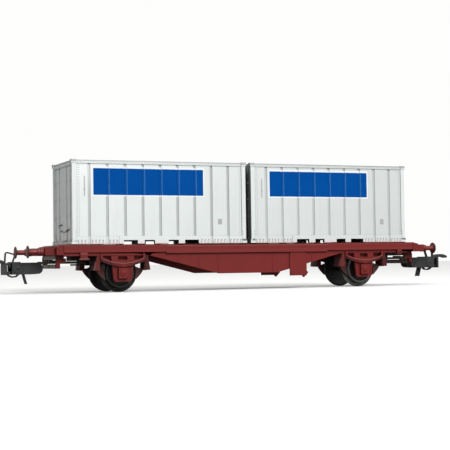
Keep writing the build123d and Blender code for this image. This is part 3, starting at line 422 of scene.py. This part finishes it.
        # painted shade in short streaks below the rivets of the bottom rail, painted reflection of the red frame at
        # its foot
        dx = p.calc("SUBTRACT", p.x, under * MM)
        rail = p.calc("SUBTRACT", 1.0, p.between(dx, BAND_X[0] * MM, BAND_X[1] * MM))
        rivet_shade = p.calc("LESS_THAN", p.calc("FLOORED_MODULO", p.calc("SUBTRACT", dx, (-32.35 - 0.25) * MM), 1.341 * MM), 0.50 * MM)
        rivet_shade = p.calc("MULTIPLY", p.calc("MULTIPLY", rail, rivet_shade), p.remap(p.z, 17.7 * MM, 18.9 * MM, 0.50, 0.08, smooth=True))
        side = p.calc("GREATER_THAN", p.calc("ABSOLUTE", p.y), (C_FACE - 0.05) * MM)
        rivet_shade = p.calc("MULTIPLY", p.calc("MULTIPLY", rivet_shade, side), p.calc("LESS_THAN", p.z, 18.9 * MM))
        foot = p.calc("MULTIPLY", side, p.remap(p.z, 17.3 * MM, 18.5 * MM, 0.50, 0.0, smooth=True))
        c = p.mix(foot, c, (0.90, 0.64, 0.62))
        c = p.mix(rivet_shade, c, scaled(base, 0.35))
        c = p.mix(p.calc("MULTIPLY", pocket, 0.93), c, (0.016, 0.024, 0.020))
    else:
        # the roof's end faces are darker
        rim = p.calc("MULTIPLY", p.calc("GREATER_THAN", p.calc("ABSOLUTE", p.facing()[0]), 0.5), p.calc("GREATER_THAN", p.z, (Z_TOP - 1.3) * MM))
        c = p.mix(p.calc("MULTIPLY", rim, 0.42), c, scaled(base, 0.20))
        p.set(spec=0.45)
    p.set(color=c, metal=metal, rough=rough)
    p.bump(p.calc("ADD", p.calc("MULTIPLY", flake, 0.6), p.noise(420.0, 3.0)), 0.16, 0.00003)
    return p.mat


silver_end = silver_paint("silver_end", shade=1.02, end=True)
silver_plain = silver_paint("silver_plain")
silver_gear = silver_paint("silver_gear", shade=0.80)


def wheel_paint(name, shine):
    """Blackened wheel with a brighter rolling surface."""
    p = Paint(name)
    dx = p.calc("SUBTRACT", p.calc("ABSOLUTE", p.x), X_AXLE * MM)
    dz = p.calc("SUBTRACT", p.z, Z_AXLE * MM)
    r = p.calc("SQRT", p.calc("ADD", p.calc("MULTIPLY", dx, dx), p.calc("MULTIPLY", dz, dz)))
    ay = p.calc("ABSOLUTE", p.y)
    rim = p.calc("GREATER_THAN", r, 4.9 * MM)
    ring = p.calc("SINE", p.calc("MULTIPLY", r, 60000.0))
    n = p.noise(800.0, 4.0, 0.6)
    c = p.mix(n, (0.014, 0.011, 0.010), (0.028, 0.022, 0.020))
    steel = p.mix(n, scaled((0.050, 0.051, 0.050), shine), scaled((0.095, 0.096, 0.094), shine))
    c = p.mix(rim, c, steel)
    # painted shade: the flange side stays dark
    back = p.calc("LESS_THAN", ay, 7.6 * MM)
    c = p.mix(p.calc("MULTIPLY", back, 0.85), c, (0.030, 0.027, 0.027))
    # painted light on the outer face of the flange
    flange = p.calc("MULTIPLY", p.calc("GREATER_THAN", r, 5.9 * MM), p.calc("GREATER_THAN", ay, 7.6 * MM))
    c = p.mix(flange, c, p.mix(n, scaled((0.085, 0.083, 0.080), shine), scaled((0.14, 0.137, 0.132), shine)))
    # painted shade in the recesses
    c = p.mix(p.calc("MULTIPLY", p.corners(), 0.7, clamp=True), c, (0.006, 0.006, 0.006))
    # painted highlight along the edges
    c = p.mix(p.calc("MULTIPLY", p.edges(), 0.4, clamp=True), c, (0.20, 0.205, 0.20))
    p.set(color=c, metal=p.calc("MULTIPLY", rim, 0.75), rough=p.remap(n, 0.3, 0.7, 0.30, 0.46), spec=0.3)
    p.bump(p.calc("ADD", p.calc("MULTIPLY", ring, 0.15), n), 0.3)
    return p.mat


def axle_paint():
    p = Paint("axle_steel")
    turned = p.noise(1.0, 2.0, 0.6, stretch=(300.0, 14000.0, 300.0))
    n = p.noise(900.0, 4.0)
    c = p.mix(n, (0.07, 0.07, 0.068), (0.15, 0.15, 0.145))
    c = p.mix(p.calc("MULTIPLY", turned, 0.3), c, (0.24, 0.24, 0.23))
    p.set(color=c, metal=0.8, rough=p.remap(turned, 0.3, 0.7, 0.28, 0.44))
    p.bump(turned, 0.25)
    return p.mat


def ballast_paint():
    p = Paint("ballast_steel")
    rolled = p.noise(1.0, 3.0, 0.6, stretch=(180.0, 3600.0, 3600.0))
    spots = p.remap(p.noise(420.0, 5.0, 0.7), 0.56, 0.72, 0.0, 1.0)
    c = p.mix(rolled, (0.20, 0.20, 0.195), (0.36, 0.36, 0.35))
    c = p.mix(p.calc("MULTIPLY", spots, 0.5), c, (0.13, 0.085, 0.06))
    p.set(color=c, metal=0.85, rough=p.remap(rolled, 0.3, 0.7, 0.34, 0.52))
    p.bump(rolled, 0.3)
    return p.mat


def buffer_paint():
    """Red buffer whose head has a dark rim."""
    p = grained("buffer_red", (0.215, 0.030, 0.026), rough=0.42, spec=0.4, grime_and_shade=RED_DARK, worn=(0.36, 0.09, 0.08))
    old = p.bsdf.inputs["Base Color"].links[0].from_socket
    dy = p.calc("SUBTRACT", p.calc("ABSOLUTE", p.y), 10.0 * MM)
    dz = p.calc("SUBTRACT", p.z, 14.45 * MM)
    r = p.calc("SQRT", p.calc("ADD", p.calc("MULTIPLY", dy, dy), p.calc("MULTIPLY", dz, dz)))
    head = p.calc("GREATER_THAN", p.calc("ABSOLUTE", p.x), 85.0 * MM)
    rim = p.calc("MULTIPLY", p.remap(r, 1.35 * MM, 2.05 * MM, 0.0, 0.9, smooth=True), head)
    p.set(color=p.mix(rim, old, (0.040, 0.030, 0.024)))
    return p.mat


def stirrup_paint():
    """The stirrup's legs are red, its cross bars dark grey-brown as painted light standing in for light through the
    slits, with painted light on the outer faces and a painted highlight on the edges.
    """
    p = grained("stirrup_red", scaled(RED, 0.62), rough=0.5, spec=0.22, grime_and_shade=(0.014, 0.004, 0.004), worn=(0.18, 0.03, 0.027))
    old = p.bsdf.inputs["Base Color"].links[0].from_socket
    mid = p.remap(p.calc("ABSOLUTE", p.y), 8.6 * MM, 9.5 * MM, 1.0, 0.0, smooth=True)
    n = p.noise(900.0, 4.0)
    grey = p.mix(n, (0.195, 0.172, 0.153), (0.265, 0.235, 0.210))
    # painted light on the outer face
    out = p.calc("GREATER_THAN", p.calc("MULTIPLY", p.facing()[0], p.calc("SIGN", p.x)), 0.5)
    grey = p.mix(out, grey, p.mix(n, (0.26, 0.215, 0.19), (0.37, 0.31, 0.275)))
    # painted highlight along the edges
    grey = p.mix(p.calc("MULTIPLY", p.edges(), 0.4, clamp=True), grey, (0.30, 0.27, 0.24))
    p.set(color=p.mix(p.calc("MULTIPLY", mid, 0.92), old, grey))
    return p.mat


# painted light: wheelset 2 gets brighter rims than wheelset 1
wheel_black_1, wheel_black_2 = wheel_paint("wheel_black_1", 0.5), wheel_paint("wheel_black_2", 1.9)
axle_steel, ballast_steel = axle_paint(), ballast_paint()
buffer_red, stirrup_red = buffer_paint(), stirrup_paint()


# ================================================================== CAD nodes
def dress(o, mat, width, angle=32.0, segments=2):
    """Material and rounded edges on a CAD node. Its own mesh stays as it is."""
    o.data.materials.clear()
    o.data.materials.append(mat)
    o.data.polygons.foreach_set("use_smooth", [True] * len(o.data.polygons))
    m = o.modifiers.new("weld", "WELD")
    m.merge_threshold = 2e-6
    m = o.modifiers.new("flat", "DECIMATE")
    m.decimate_type = "DISSOLVE"
    m.angle_limit = math.radians(0.4)
    if width:
        m = o.modifiers.new("edge", "BEVEL")
        m.width = width * MM
        m.segments = segments
        m.limit_method = "ANGLE"
        m.angle_limit = math.radians(angle)
        m.use_clamp_overlap = True
        m.miter_outer = "MITER_SHARP"
    m = o.modifiers.new("normals", "WEIGHTED_NORMAL")
    m.weight = 60
    m.keep_sharp = True


# columns: start of the node's name, material, edge width in mm
DRESS = (
    ("container_pins", red_deep, 0.05),
    ("side_sill", sill_red, 0.08),
    ("deck_plate", red, 0.05),
    ("headstock", red_head, 0.09),
    ("buffers", buffer_red, 0.07),
    ("coupler_stirrup", stirrup_red, 0.08),
    ("axle_guards", guard_red, 0.07),
    ("axle_boxes", red, 0.10),
    ("leaf_springs", spring_red, 0.07),
    ("wheel_plates", plate_red, 0.05),
    ("brake_hangers", hanger_red, 0.06),
    ("brake_shoes", shoe_dark, 0.06),
    ("brake_plate", red, 0.06),
    ("sill_brackets", bracket_red, 0.07),
    ("drawbar_post", post_grey, 0.05),
    ("cross_bearers", red_deep, 0.05),
    ("centre_sill", red_deep, 0.06),
    ("ballast_plate", ballast_steel, 0.05),
    ("wheels_1", wheel_black_1, 0.05),
    ("wheels_2", wheel_black_2, 0.05),
    ("axle_", axle_steel, 0.04),
    ("coupler_head", black, 0.08),
    ("coupler_bar", bar_black, 0.06),
    ("coupler_blade", black, 0.05),
    ("coupler_strips", strip_metal, 0.05),
)
for name, o in NODES.items():
    found = [r for r in DRESS if name.startswith(r[0])]
    if name.startswith("container_1") or name.startswith("container_2"):
        xc = -C_MID if name.startswith("container_1") else C_MID
        if "_side_a" in name:
            mat = silver_paint("silver_" + name, xc, 1, 1.04, painted_shade=0.86 if xc < 0 else 0.34)
        elif "_side_b" in name:
            mat = silver_paint("silver_" + name, xc, -1)
        elif "_end" in name:
            mat = silver_end
        elif "_floor" in name:
            mat = silver_paint("silver_" + name, None, 0, 1.0 if xc < 0 else 0.94, under=xc)
        else:
            mat = silver_plain
        dress(o, mat, 0.07)
    else:
        dress(o, found[0][1], found[0][2])


# ================================================================== small parts
class Solid:
    """Collects closed bodies in millimetres and makes one mesh of them."""

    def __init__(self):
        self.verts, self.faces = [], []

    def _put(self, verts, faces):
        n = len(self.verts)
        self.verts += [tuple(v) for v in verts]
        self.faces += [[i + n for i in f] for f in faces]

    def block(self, lo, hi):
        x0, y0, z0 = (min(a, b) for a, b in zip(lo, hi))
        x1, y1, z1 = (max(a, b) for a, b in zip(lo, hi))
        self._put(
            [(x0, y0, z0), (x1, y0, z0), (x1, y1, z0), (x0, y1, z0), (x0, y0, z1), (x1, y0, z1), (x1, y1, z1), (x0, y1, z1)],
            [(0, 3, 2, 1), (4, 5, 6, 7), (0, 1, 5, 4), (1, 2, 6, 5), (2, 3, 7, 6), (3, 0, 4, 7)],
        )

    def turn(self, centre, axis, profile, sides=12, phase=0.0):
        """A turned body: profile is (radius, height) from its foot to its top."""
        c, w = Vector(centre), Vector(axis).normalized()
        u = w.orthogonal().normalized()
        if abs(w.z) < 0.5:
            u = Vector((0, 0, 1))
        v = w.cross(u)
        verts, faces, rings = [], [], []
        for r, h in profile:
            if r <= 1e-9:
                rings.append([len(verts)])
                verts.append(c + h * w)
            else:
                rings.append(list(range(len(verts), len(verts) + sides)))
                for i in range(sides):
                    a = 2 * math.pi * i / sides + phase
                    verts.append(c + h * w + r * (math.cos(a) * u + math.sin(a) * v))
        if len(rings[0]) > 1:
            faces.append(rings[0][::-1])
        for lo, hi in zip(rings, rings[1:]):
            for i in range(sides):
                j = (i + 1) % sides
                if len(lo) == 1 and len(hi) == 1:
                    continue
                if len(hi) == 1:
                    faces.append((lo[i], lo[j], hi[0]))
                elif len(lo) == 1:
                    faces.append((lo[0], hi[j], hi[i]))
                else:
                    faces.append((lo[i], lo[j], hi[j], hi[i]))
        if len(rings[-1]) > 1:
            faces.append(rings[-1])
        self._put(verts, faces)

    def rivet(self, c, axis, r, h, sides=12):
        self.turn(c, axis, ((r, -0.03), (r, h * 0.25), (r * 0.86, h * 0.66), (r * 0.5, h * 0.93), (0.0, h)), sides)

    def bolt(self, c, axis, r, h):
        """Washer with a six-sided head and a bolt end."""
        self.turn(c, axis, ((r * 1.28, -0.03), (r * 1.28, h * 0.28), (r * 1.18, h * 0.34), (0.0, h * 0.34)), 14)
        self.turn(c, axis, ((r, h * 0.2), (r, h * 0.86), (r * 0.84, h), (0.0, h)), 6)

    def rod(self, a, b, r, sides=10):
        a, b = Vector(a), Vector(b)
        n = (b - a).length
        self.turn(a, b - a, ((r * 0.8, 0), (r, r * 0.25), (r, n - r * 0.25), (r * 0.8, n)), sides)

    def strip(self, pts, y0, y1, t):
        """A strip of thickness t (in z) that follows pts (x, z), between y0 and y1."""
        verts, faces = [], []
        for x, z in pts:
            verts += [(x, y0, z), (x, y1, z), (x, y1, z + t), (x, y0, z + t)]
        n = len(pts)
        for i in range(n - 1):
            a = 4 * i
            for k in range(4):
                faces.append((a + k, a + (k + 1) % 4, a + 4 + (k + 1) % 4, a + 4 + k))
        faces.append((3, 2, 1, 0))
        faces.append((4 * n - 4, 4 * n - 3, 4 * n - 2, 4 * n - 1))
        self._put(verts, faces)

    def half_turn(self):
        """The same bodies again at the other end and the other side."""
        n = len(self.verts)
        self.verts += [(-x, -y, z) for x, y, z in self.verts]
        self.faces += [[i + n for i in f] for f in self.faces]
        return self

    def make(self, name, mat, body, slot, bevel=0.0, angle=40.0):
        me = bpy.data.meshes.new(name)
        me.from_pydata([(x * MM, y * MM, (z + RISE) * MM) for x, y, z in self.verts], [], self.faces)
        me.validate()
        o = bpy.data.objects.new(name, me)
        bpy.context.scene.collection.objects.link(o)
        me.materials.append(mat)
        me.polygons.foreach_set("use_smooth", [True] * len(me.polygons))
        # outward faces
        import bmesh

        bm = bmesh.new()
        bm.from_mesh(me)
        bmesh.ops.recalc_face_normals(bm, faces=bm.faces)
        bm.to_mesh(me)
        bm.free()
        if bevel:
            m = o.modifiers.new("edge", "BEVEL")
            m.width = bevel * MM
            m.segments = 2
            m.limit_method = "ANGLE"
            m.angle_limit = math.radians(angle)
        m = o.modifiers.new("normals", "WEIGHTED_NORMAL")
        m.weight = 60
        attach(o, body)
        return o


# ---------------------------------------------------------------- containers
def near_groove(dx, room=0.85):
    return any(abs(dx - g) < room for g in GROOVES if not BAND_X[0] < g < BAND_X[1])


for k, xc in ((1, -C_MID), (2, C_MID)):
    body = f"container_{k}"
    rivets = Solid()
    for side in (-1, 1):
        # along the bottom rail, outside the smooth plate
        for start, end in ((-32.35, -17.6), (16.3, 32.4)):
            n = int(round((end - start) / 1.335))
            for i in range(n + 1):
                dx = start + (end - start) * i / n
                if not near_groove(dx):
                    rivets.rivet((xc + dx, side * C_FACE, 18.42), (0, side, 0), 0.23, 0.11)
        # along the top rail
        for i in range(66):
            rivets.rivet((xc - 32.3 + i * 0.9938, side * 14.01, 47.2), (0, side, 0), 0.15, 0.07, 6)
        # beside the first and the last groove, and along the corner posts
        for i in range(31):
            z = 20.4 + i * 0.85
            for dx in (-32.6, -31.9, 31.9, 32.6):
                rivets.rivet((xc + dx, side * C_FACE, z), (0, side, 0), 0.15, 0.07, 8)
        # up the corner posts
        for d in (-1, 1):
            for z in (19.4, 20.5, 21.6):
                rivets.rivet((xc + d * 33.15, side * C_FACE, z), (0, side, 0), 0.17, 0.09)
    rivets.make(f"rivets_{k}", rivet_grey, body, "container_silver")

    # strips under the bottom rails, between the fork pockets, and under the end sills, pink as a painted reflection of
    # the red frame
    foot = Solid()
    stops = [-32.8] + [q for dx, w in POCKETS for q in (dx - w / 2 - 0.1, dx + w / 2 + 0.1)] + [32.8]
    for side in (-1, 1):
        for x0, x1 in zip(stops[::2], stops[1::2]):
            foot.block((xc + x0, side * 12.7, 16.96), (xc + x1, side * (C_FACE - 0.05), 17.13))
    for d in (-1, 1):
        foot.block((xc + d * 34.0, -12.0, 16.96), (xc + d * 34.45, 12.0, 17.33))
    foot.make(f"foot_reflection_strips_{k}", foot_reflection, body, "container_silver")

    marks = Solid()
    for side in (-1, 1):
        s = -side
        # slim upright bead with its clip
        x = xc + s * -29.87
        marks.rod((x, side * (C_FACE + 0.02), 34.7), (x, side * (C_FACE + 0.02), 42.1), 0.13)
        marks.block((x - 0.24, side * (C_FACE - 0.05), 36.95), (x + 0.24, side * (C_FACE + 0.14), 37.55))
        # blank plate near the bottom corner
        x = xc + s * 23.65
        marks.block((x - 0.75, side * (C_FACE - 0.05), 24.35), (x + 0.75, side * (C_FACE + 0.09), 26.35))
        for dx in (-0.55, 0.55):
            for z in (24.55, 26.15):
                marks.rivet((x + dx, side * (C_FACE + 0.09), z), (0, side, 0), 0.11, 0.06, 8)
    marks.make(f"side_marks_{k}", gear_grey, body, "container_silver", 0.03)

    # door gear on the end at -X: face of the leaves, face of the lock bars
    xd, xb = xc - (C_HALF - 0.3) + 0.35, xc - (C_HALF - 0.3) + 0.10
    gear, handles = Solid(), Solid()
    for y in (-10.5, -5.1, 5.1, 10.5):
        # guides along each lock bar, cam keepers at its ends
        for z in (27.6, 34.2, 40.6):
            gear.block((xd + 0.02, y - 0.45, z - 0.24), (xb - 0.05, y + 0.45, z + 0.24))
        for z, dz in ((18.55, 0.55), (46.15, -0.55)):
            gear.block((xd + 0.3, y - 0.5, z - 0.35), (xb - 0.06, y + 0.5, z + 0.35))
            gear.block((xb + 0.02, y - 0.62, z + dz - 0.12), (xb - 0.08, y + 0.1, z + dz + 0.12))
    # handles, columns: y and z of the hub, y and z of the grip, radius, length of the catch below the grip
    for ya, za, yb, zb, r, drop in ((1.6, 24.65, 5.6, 24.45, 0.22, 1.2), (-8.4, 22.65, -4.4, 22.10, 0.27, 0.6),
                                    (1.2, 22.35, 3.7, 22.35, 0.18, 0.3), (-0.6, 21.85, -1.8, 21.75, 0.16, 0.1)):
        handles.rod((xb - 0.06, ya, za), (xb - 0.06, yb, zb), r)
        handles.rivet((xb + 0.02, ya, za), (-1, 0, 0), r * 1.15, 0.22, 10)
        handles.block((xd + 0.02, yb - 0.22, zb - drop), (xb - 0.05, yb + 0.22, zb + 0.1))
    # hinges at the outer edge of each leaf
    for side in (-1, 1):
        for z in (20.3, 26.9, 33.5, 40.1, 45.2):
            gear.rod((xd - 0.06, side * 12.05, z - 0.5), (xd - 0.06, side * 12.05, z + 0.5), 0.13)
    gear.make(f"door_gear_{k}", silver_gear, body, "container_silver", 0.03)
    handles.make(f"door_handles_{k}", gear_dark, body, "container_silver", 0.03)

# ---------------------------------------------------------------- frame
# upright beads on the web of side a, columns: x, low z, high z
WEB_BEADS = ((-29.1, 10.0, 13.45), (-20.7, 7.75, 13.45), (-12.9, 5.75, 13.45), (10.2, 5.7, 13.45), (27.3, 9.5, 13.45))
ribs = Solid()
for x, za, zb in WEB_BEADS:
    ribs.block((x - 0.11, -(Y_WEB - 0.05), za), (x + 0.11, -(Y_WEB + 0.1), zb))
ribs.half_turn()
ribs.make("web_beads", red, "frame", "frame_red", 0.04)

# leaves, buckle bolts and shackle pins on the springs
leaves, top_leaf = Solid(), Solid()
for x in (-X_AXLE, X_AXLE):
    for side in (-1, 1):
        for i, (cut, dz) in enumerate(((8.0, 0.98), (6.9, 0.62), (5.4, 0.27))):
            pts = []
            for j in range(13):
                dx = -cut + 2 * cut * j / 12
                pts.append((x + dx, 8.72 + dz + 1.93 * (dx / 8.2) ** 2 * (1 - 0.04 * i)))
            (leaves if i else top_leaf).strip(pts, side * (Y_WEB + 0.80), side * (Y_WEB + (0.98 if i else 1.02)), 0.16 if i else 0.34)
        leaves.bolt((x, side * (Y_WEB + 1.0), 9.35), (0, side, 0), 0.2, 0.16)
        for dx in (-8.2, 8.2):
            leaves.bolt((x + dx, side * (Y_WEB + 0.6), 11.1), (0, side, 0), 0.24, 0.2)
leaves.make("spring_leaves", spring_red, "frame", "frame_red", 0.02)
# the top leaves carry the painted highlight
top_leaf.make("spring_top_leaves", leaf_highlight, "frame", "frame_red", 0.04)

# axle box covers and the tie under the guards
covers = Solid()
for x in (-X_AXLE, X_AXLE):
    for side in (-1, 1):
        f = 14.7
        covers.turn((x, side * (f - 0.02), 6.4), (0, side, 0), ((0.62, 0.0), (0.62, 0.08), (0.5, 0.15), (0.0, 0.17)), 16)
        for a in range(4):
            t = math.radians(45 + 90 * a)
            covers.bolt((x + 2.0 * math.cos(t), side * 14.4, 6.3 + 2.1 * math.sin(t)), (0, side, 0), 0.13, 0.12)
        for dx in (-3.0, 3.0):
            covers.bolt((x + dx, side * 13.3, 3.75), (0, side, 0), 0.15, 0.14)
        for dx in (-3.1, 3.1):
            for z in (10.0, 11.6):
                covers.rivet((x + dx, side * 13.28, z), (0, side, 0), 0.15, 0.09, 10)
covers.make("axle_box_fittings", red, "frame", "frame_red", 0.02)

# bolts on the buffer seats and rings on the buffer shanks
seats = Solid()
for s in (-1, 1):
    for t in (-1, 1):
        for dy in (-1.95, 1.95):
            for dz in (-0.85, 1.05):
                seats.bolt((s * 80.0, t * 10.0 + dy, 14.45 + dz), (s, 0, 0), 0.17, 0.2)
        seats.turn((s * 81.2, t * 10.0, 14.45), (s, 0, 0), ((1.30, 0.0), (1.47, 0.05), (1.47, 0.28), (1.30, 0.33)), 28)
seats.make("buffer_fittings", red, "frame", "frame_red", 0.02)

# rivets on the headstocks
ends = Solid()
for s in (-1, 1):
    for y in (-13.3, -6.3, -3.2, 3.2, 6.3, 13.3):
        for z in (13.8, 15.6):
            ends.rivet((s * 76.2, y, z), (s, 0, 0), 0.2, 0.11, 10)
ends.make("headstock_rivets", red, "frame", "frame_red")

# bolts on the brake plates
plates = Solid()
for side in (-1, 1):
    for x, z in ((18.2, 12.7), (24.2, 12.7), (18.2, 5.0), (24.2, 5.0)):
        plates.bolt((x, side * (Y_WEB + 0.45), z), (0, side, 0), 0.2, 0.16)
plates.make("brake_plate_bolts", red, "frame", "frame_red", 0.02)

# ---------------------------------------------------------------- couplers
for k, s in ((1, -1), (2, 1)):
    pins = Solid()
    for t in (-1, 1):
        # hinge pin ends and the boss of the uncoupling lug
        pins.turn((s * 88.1, t * 4.4, 8.75), (0, t, 0), ((0.75, 0.0), (0.75, 0.08), (0.6, 0.14), (0.0, 0.16)), 16)
        pins.rivet((s * 84.0, t * 4.18, 7.3), (0, t, 0), 0.28, 0.12)
    pins.make(f"coupler_pins_{k}", black, f"coupler_{k}", "coupler_black", 0.02)

# ================================================================== floor
def floor_paint():
    p = Paint("pale_floor")
    n = p.noise(6.0, 4.0, 0.5)
    p.set(color=p.mix(n, (0.86, 0.86, 0.855), (0.90, 0.90, 0.895)), rough=0.8, spec=0.1)
    p.bsdf.inputs["Emission Color"].default_value = (1.0, 1.0, 1.0, 1.0)
    p.bsdf.inputs["Emission Strength"].default_value = 0.16
    return p.mat


def backdrop_paint():
    p = Paint("pale_backdrop")
    p.set(color=(0.0, 0.0, 0.0), rough=1.0, spec=0.0)
    p.bsdf.inputs["Emission Color"].default_value = (1.0, 1.0, 0.992, 1.0)
    p.bsdf.inputs["Emission Strength"].default_value = 0.99
    return p.mat


floor_mesh = bpy.data.meshes.new("floor")
S = 6.0
floor_mesh.from_pydata([(-S, -S, 0), (S, -S, 0), (S, S, 0), (-S, S, 0)], [], [(0, 1, 2, 3)])
floor = bpy.data.objects.new("floor", floor_mesh)
floor_mesh.materials.append(floor_paint())
bpy.context.scene.collection.objects.link(floor)
# a wide pale drum round the floor
drum_mesh = bpy.data.meshes.new("backdrop")
ring = [(5.5 * math.cos(math.pi * i / 32), 5.5 * math.sin(math.pi * i / 32)) for i in range(64)]
drum_mesh.from_pydata(
    [(x, y, z) for z in (-5.5, 5.5) for x, y in ring], [],
    [(i, (i + 1) % 64, 64 + (i + 1) % 64, 64 + i) for i in range(64)] + [tuple(range(64, 128))],
)
drum = bpy.data.objects.new("backdrop", drum_mesh)
drum_mesh.materials.append(backdrop_paint())
bpy.context.scene.collection.objects.link(drum)
for o in (floor, drum):
    o.visible_diffuse = o.visible_glossy = False
drum.visible_shadow = False

# ================================================================== light
world = bpy.data.worlds.new("studio")
bpy.context.scene.world = world
world.use_nodes = True
wt = world.node_tree
bg = wt.nodes["Background"]
bg.inputs["Color"].default_value = (1.0, 1.0, 0.995, 1.0)
co = wt.nodes.new("ShaderNodeTexCoord")
sx = wt.nodes.new("ShaderNodeSeparateXYZ")
wt.links.new(co.outputs["Generated"], sx.inputs[0])


def slope(socket, *values):
    m = wt.nodes.new("ShaderNodeMapRange")
    m.interpolation_type = "SMOOTHSTEP"
    wt.links.new(socket, m.inputs[0])
    for i, v in enumerate(values, 1):
        m.inputs[i].default_value = v
    return m.outputs[0]


def times(a, b):
    m = wt.nodes.new("ShaderNodeMath")
    m.operation = "MULTIPLY"
    wt.links.new(a, m.inputs[0])
    if isinstance(b, float):
        m.inputs[1].default_value = b
    else:
        wt.links.new(b, m.inputs[1])
    return m.outputs[0]


# softer light from the left, from behind and from below
glow = times(slope(sx.outputs[0], -0.75, 0.10, 0.88, 1.0), slope(sx.outputs[1], -0.2, 0.7, 1.0, 0.55))
glow = times(times(glow, slope(sx.outputs[2], -0.28, 0.06, 0.10, 1.0)), 0.90)
wt.links.new(glow, bg.inputs["Strength"])


def area(name, place, aim, size, power):
    d = bpy.data.lights.new(name, "AREA")
    d.shape = "DISK"
    d.size = size
    d.energy = power
    o = bpy.data.objects.new(name, d)
    bpy.context.scene.collection.objects.link(o)
    o.location = place
    o.rotation_mode = "QUATERNION"
    o.rotation_quaternion = (Vector(aim) - Vector(place)).to_track_quat("-Z", "Y")


area("key", (0.10, -0.80, 0.58), (0.0, 0.0, 0.02), 0.40, 5.8)

# ================================================================== camera
YAW, PITCH, ROLL, FOCAL = 0.3995, 0.0317, -0.0142, 1158.69     # radians, and pixels of a 450-pixel frame
cy, sy, cp, sp = math.cos(YAW), math.sin(YAW), math.cos(PITCH), math.sin(PITCH)
forward = Vector((sy * cp, cy * cp, sp))
right = Vector((cy, -sy, 0.0))
up = right.cross(forward)
r = math.cos(ROLL) * right + math.sin(ROLL) * up
u = -math.sin(ROLL) * right + math.cos(ROLL) * up
cam_data = bpy.data.cameras.new("camera")
cam = bpy.data.objects.new("camera", cam_data)
bpy.context.scene.collection.objects.link(cam)
cam.matrix_world = Matrix((
    (r.x, u.x, -forward.x, -0.18285),
    (r.y, u.y, -forward.y, -0.42333),
    (r.z, u.z, -forward.z, 0.009925 + RISE * MM),
    (0.0, 0.0, 0.0, 1.0),
))
cam_data.sensor_width = 36.0
cam_data.lens = FOCAL / 450.0 * 36.0
cam_data.clip_start, cam_data.clip_end = 0.01, 50.0
bpy.context.scene.camera = cam
bpy.context.scene.view_settings.view_transform = "Standard"
